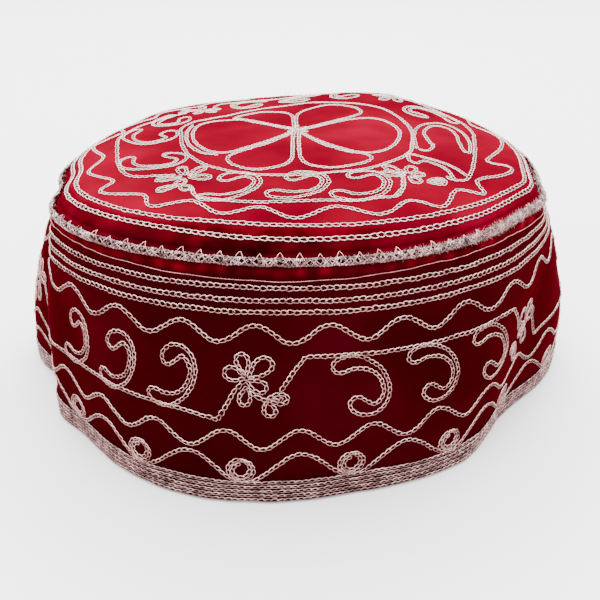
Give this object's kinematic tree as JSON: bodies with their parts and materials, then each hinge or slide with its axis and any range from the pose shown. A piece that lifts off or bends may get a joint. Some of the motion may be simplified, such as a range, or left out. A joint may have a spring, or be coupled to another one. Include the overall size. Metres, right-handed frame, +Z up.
{
  "type": "embroidered pillbox cap",
  "caption": "Brimless round cap in red satin: domed crown, flared side wall folded at both sides, braid on the seam and a stitched lower edge.",
  "frame": {"origin": "middle of the bounding box at the floor, on which the lower edge rests", "axes": "+Z up, the front towards -Y, the long way of the oval along X with the wearer's left at +X"},
  "size_m": [0.1956, 0.1718, 0.0829],
  "materials": {
    "crown_satin": "bright red satin with silver pink chain stitch",
    "silver_braid": "fuzzy silver pink metallic braid",
    "wall_satin": "dark maroon satin with silver pink chain stitch",
    "edge_stitching": "dense silver pink chain stitch"
  },
  "bodies": {
    "root": {"crown_panel": "crown_satin", "seam_braid": "silver_braid", "side_wall": "wall_satin", "hem_band": "edge_stitching"}
  },
  "joints": []
}
